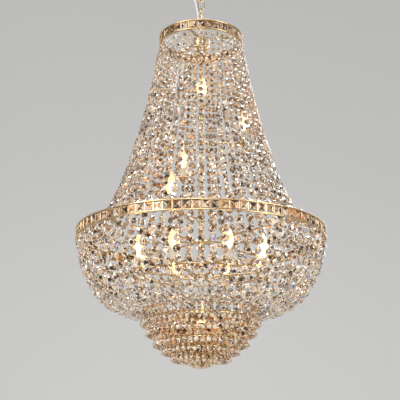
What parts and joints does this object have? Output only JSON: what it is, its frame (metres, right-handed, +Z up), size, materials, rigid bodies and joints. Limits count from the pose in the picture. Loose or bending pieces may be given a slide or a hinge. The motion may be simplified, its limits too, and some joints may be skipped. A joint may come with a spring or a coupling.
{
  "type": "crystal chandelier",
  "caption": "Empire-style crystal chandelier: a crown, a windowed main ring, draped crystal strands, a stepped basket of drops and candle lamps, on a short chain and canopy.",
  "frame": {"origin": "centre of the mounting bar's upper face, on the ceiling plane", "axes": "+Z up, the chandelier hangs along -Z; -Y faces the viewer of the picture"},
  "size_m": [0.7609, 0.7614, 1.2818],
  "materials": {
    "gold_metal": "polished champagne gold plate",
    "crystal": "cut and polished clear crystal",
    "zinc_steel": "zinc plated",
    "sleeve": "satin ivory",
    "holder": "matte black",
    "cord": "satin white",
    "bushing": "satin white",
    "bulb_glass": "clear glass, lit warm"
  },
  "bodies": {
    "ceiling_fitting": {"mounting_bar": "zinc_steel", "threaded_nipple": "zinc_steel", "nipple_locknut": "zinc_steel", "ceiling_canopy": "gold_metal", "canopy_collar": "gold_metal", "ceiling_loop": "gold_metal", "cord_bushing": "bushing"},
    "upper_link": {"upper_chain_link": "gold_metal"},
    "lower_link": {"lower_chain_link": "gold_metal", "power_cord": "cord"},
    "fixture": {"hanging_eye": "gold_metal", "stem_nut": "gold_metal", "crown_arms": "gold_metal", "centre_column": "gold_metal", "wiring_cup": "gold_metal", "column_collars": "gold_metal", "ring_spokes": "gold_metal", "crown_rails": "gold_metal", "crown_mullions": "gold_metal", "ring_rails": "gold_metal", "ring_mullions": "gold_metal", "lamp_arms": "gold_metal", "upper_lamp_arms": "gold_metal", "lamp_ring": "gold_metal", "drip_cups": "gold_metal", "hanger_rods": "gold_metal", "basket_ribs": "gold_metal", "lower_lamp_bar": "gold_metal", "base_plate": "gold_metal", "tier_1_ring": "gold_metal", "tier_2_ring": "gold_metal", "tier_3_ring": "gold_metal", "tier_4_ring": "gold_metal", "tier_5_ring": "gold_metal", "crown_window_crystals": "crystal", "ring_window_crystals": "crystal", "upper_strands": "crystal", "lower_strands": "crystal", "base_drops": "crystal", "tier_1_drops": "crystal", "tier_2_drops": "crystal", "tier_3_drops": "crystal", "tier_4_drops": "crystal", "tier_5_drops": "crystal", "candle_sleeves": "sleeve", "lamp_holders": "holder"},
    "bulb_1": {"bulb_1": "bulb_glass"},
    "bulb_2": {"bulb_2": "bulb_glass"},
    "bulb_3": {"bulb_3": "bulb_glass"},
    "bulb_4": {"bulb_4": "bulb_glass"},
    "bulb_5": {"bulb_5": "bulb_glass"},
    "bulb_6": {"bulb_6": "bulb_glass"},
    "bulb_7": {"bulb_7": "bulb_glass"},
    "bulb_8": {"bulb_8": "bulb_glass"},
    "bulb_9": {"bulb_9": "bulb_glass"},
    "bulb_10": {"bulb_10": "bulb_glass"},
    "bulb_11": {"bulb_11": "bulb_glass"},
    "bulb_12": {"bulb_12": "bulb_glass"},
    "bulb_13": {"bulb_13": "bulb_glass"}
  },
  "joints": [
    {"name": "upper_link_swing", "type": "hinge", "parent": "ceiling_fitting", "child": "upper_link", "pos_m": [0, 0, -0.0541], "axis": [1, 0, 0], "range_deg": [-8, 8]},
    {"name": "lower_link_swing", "type": "hinge", "parent": "upper_link", "child": "lower_link", "pos_m": [0, 0, -0.0878], "axis": [0, 1, 0], "range_deg": [-5, 5]},
    {"name": "chandelier_swing", "type": "hinge", "parent": "lower_link", "child": "fixture", "pos_m": [0, 0, -0.1215], "axis": [1, 0, 0], "range_deg": [-5, 5]},
    {"name": "bulb_1_unscrew", "type": "hinge", "parent": "fixture", "child": "bulb_1", "pos_m": [0.18478, 0.07654, -0.974], "axis": [0, 0, 1], "range_deg": [0, 1080]},
    {"name": "bulb_2_unscrew", "type": "hinge", "parent": "fixture", "child": "bulb_2", "pos_m": [0.07654, 0.18478, -0.974], "axis": [0, 0, 1], "range_deg": [0, 1080]},
    {"name": "bulb_3_unscrew", "type": "hinge", "parent": "fixture", "child": "bulb_3", "pos_m": [-0.07654, 0.18478, -0.974], "axis": [0, 0, 1], "range_deg": [0, 1080]},
    {"name": "bulb_4_unscrew", "type": "hinge", "parent": "fixture", "child": "bulb_4", "pos_m": [-0.18478, 0.07654, -0.974], "axis": [0, 0, 1], "range_deg": [0, 1080]},
    {"name": "bulb_5_unscrew", "type": "hinge", "parent": "fixture", "child": "bulb_5", "pos_m": [-0.18478, -0.07654, -0.974], "axis": [0, 0, 1], "range_deg": [0, 1080]},
    {"name": "bulb_6_unscrew", "type": "hinge", "parent": "fixture", "child": "bulb_6", "pos_m": [-0.07654, -0.18478, -0.974], "axis": [0, 0, 1], "range_deg": [0, 1080]},
    {"name": "bulb_7_unscrew", "type": "hinge", "parent": "fixture", "child": "bulb_7", "pos_m": [0.07654, -0.18478, -0.974], "axis": [0, 0, 1], "range_deg": [0, 1080]},
    {"name": "bulb_8_unscrew", "type": "hinge", "parent": "fixture", "child": "bulb_8", "pos_m": [0.18478, -0.07654, -0.974], "axis": [0, 0, 1], "range_deg": [0, 1080]},
    {"name": "bulb_9_unscrew", "type": "hinge", "parent": "fixture", "child": "bulb_9", "pos_m": [0.00262, -0.07495, -0.4645], "axis": [0, 0, 1], "range_deg": [0, 1080]},
    {"name": "bulb_10_unscrew", "type": "hinge", "parent": "fixture", "child": "bulb_10", "pos_m": [0.13748, 0.01203, -0.5445], "axis": [0, 0, 1], "range_deg": [0, 1080]},
    {"name": "bulb_11_unscrew", "type": "hinge", "parent": "fixture", "child": "bulb_11", "pos_m": [-0.06009, 0.11302, -0.6365], "axis": [0, 0, 1], "range_deg": [0, 1080]},
    {"name": "bulb_12_unscrew", "type": "hinge", "parent": "fixture", "child": "bulb_12", "pos_m": [-0.08817, -0.12135, -0.7965], "axis": [0, 0, 1], "range_deg": [0, 1080]},
    {"name": "bulb_13_unscrew", "type": "hinge", "parent": "fixture", "child": "bulb_13", "pos_m": [0, 0, -1.165], "axis": [0, 0, 1], "range_deg": [0, 1080]}
  ]
}
